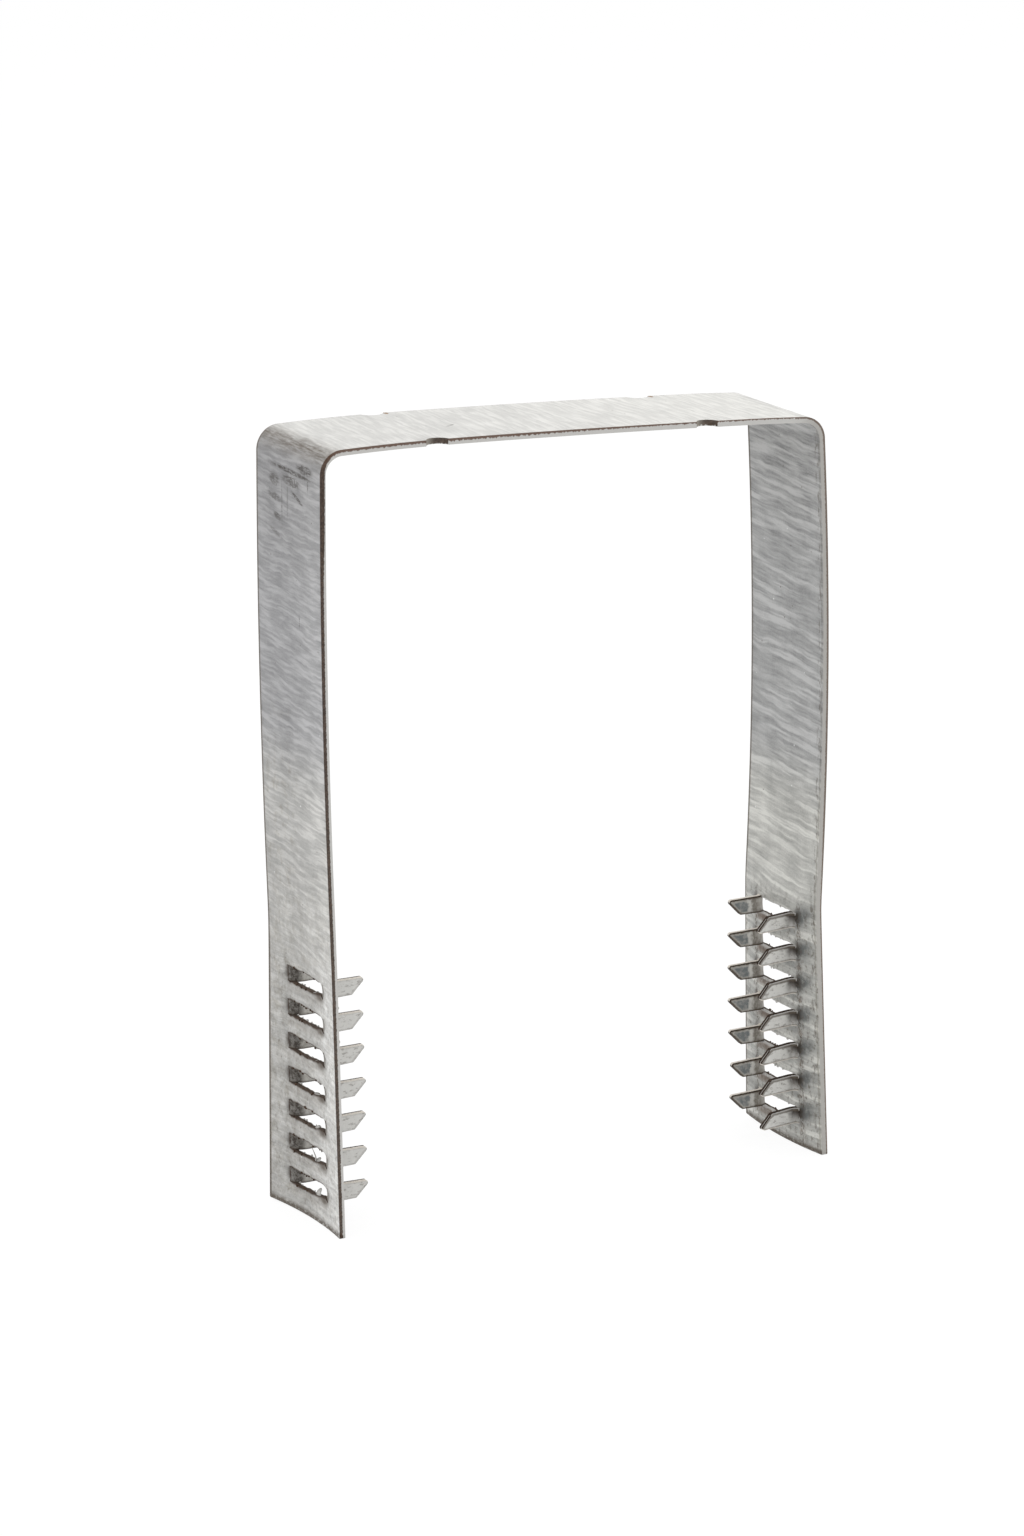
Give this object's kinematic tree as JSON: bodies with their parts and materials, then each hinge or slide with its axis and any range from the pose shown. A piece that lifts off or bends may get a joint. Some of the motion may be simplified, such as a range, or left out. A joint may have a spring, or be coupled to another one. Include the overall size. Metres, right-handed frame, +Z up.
{
  "type": "stud tie",
  "caption": "Galvanised steel strip folded to a U that straps over a timber plate, with punched teeth on its legs to drive into the stud.",
  "frame": {"origin": "midway between the legs and along the strip's width, at the level of the legs' ends", "axes": "+X from the left leg to the right leg as pictured, -Y towards the strip's front edge, +Z up towards the bar"},
  "size_m": [0.0935, 0.025, 0.1314],
  "materials": {
    "galvanised_steel": "dull galvanised"
  },
  "bodies": {
    "root": {"tie_strap": "galvanised_steel"}
  },
  "joints": []
}
